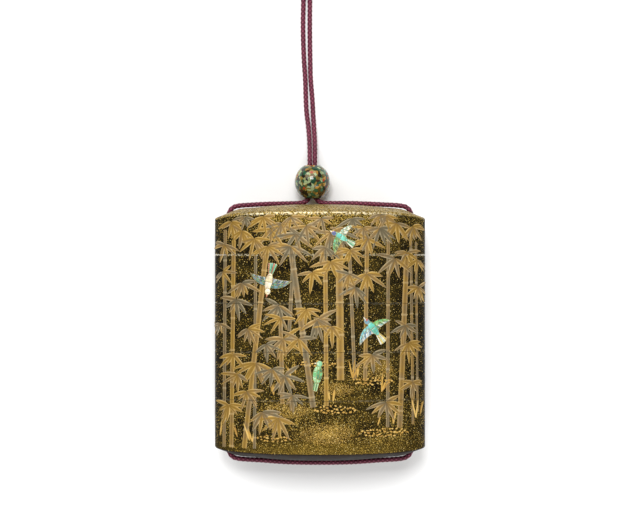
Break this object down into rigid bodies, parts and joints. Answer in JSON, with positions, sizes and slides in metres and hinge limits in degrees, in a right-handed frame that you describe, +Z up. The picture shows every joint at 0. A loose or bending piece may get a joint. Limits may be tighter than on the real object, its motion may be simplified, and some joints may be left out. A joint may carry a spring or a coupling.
{
  "type": "inro",
  "caption": "Oval lacquer inro: lid and nested cases that slide together on a silk cord with a round sliding bead, with raised gold bamboo and enamelled birds.",
  "frame": {"origin": "under the middle of the case, on the surface that it lies on, measured without the cord, bead and knot", "axes": "+Z up through the broad front, +Y from the base to the lid, +X across the width"},
  "size_m": [0.0704, 0.1698, 0.0255],
  "materials": {
    "gold_lacquer": "polished dark lacquer, sprinkled with gold flakes, with raised gold picture",
    "enamel": "glossy turquoise and green enamel with gold wires",
    "mosaic": "polished mosaic of green, ochre and brown",
    "silk": "braided plum silk"
  },
  "bodies": {
    "root": {"lid": "gold_lacquer", "case_1": "gold_lacquer", "case_2": "gold_lacquer", "case_3": "gold_lacquer", "case_4": "gold_lacquer", "bird_front_top": "enamel", "bird_front_left": "enamel", "bird_front_right": "enamel", "bird_front_standing": "enamel", "bird_back_top": "enamel", "bird_back_left": "enamel", "bird_back_right": "enamel", "bird_back_standing_left": "enamel", "bird_back_standing_right": "enamel", "bird_back_walking": "enamel", "ojime_bead": "mosaic", "cord_channel_left": "silk", "cord_channel_right": "silk", "cord_over_lid_left": "silk", "cord_over_lid_right": "silk", "cord_strand_left": "silk", "cord_strand_right": "silk", "cord_under_base": "silk", "cord_knot": "silk"}
  },
  "joints": []
}
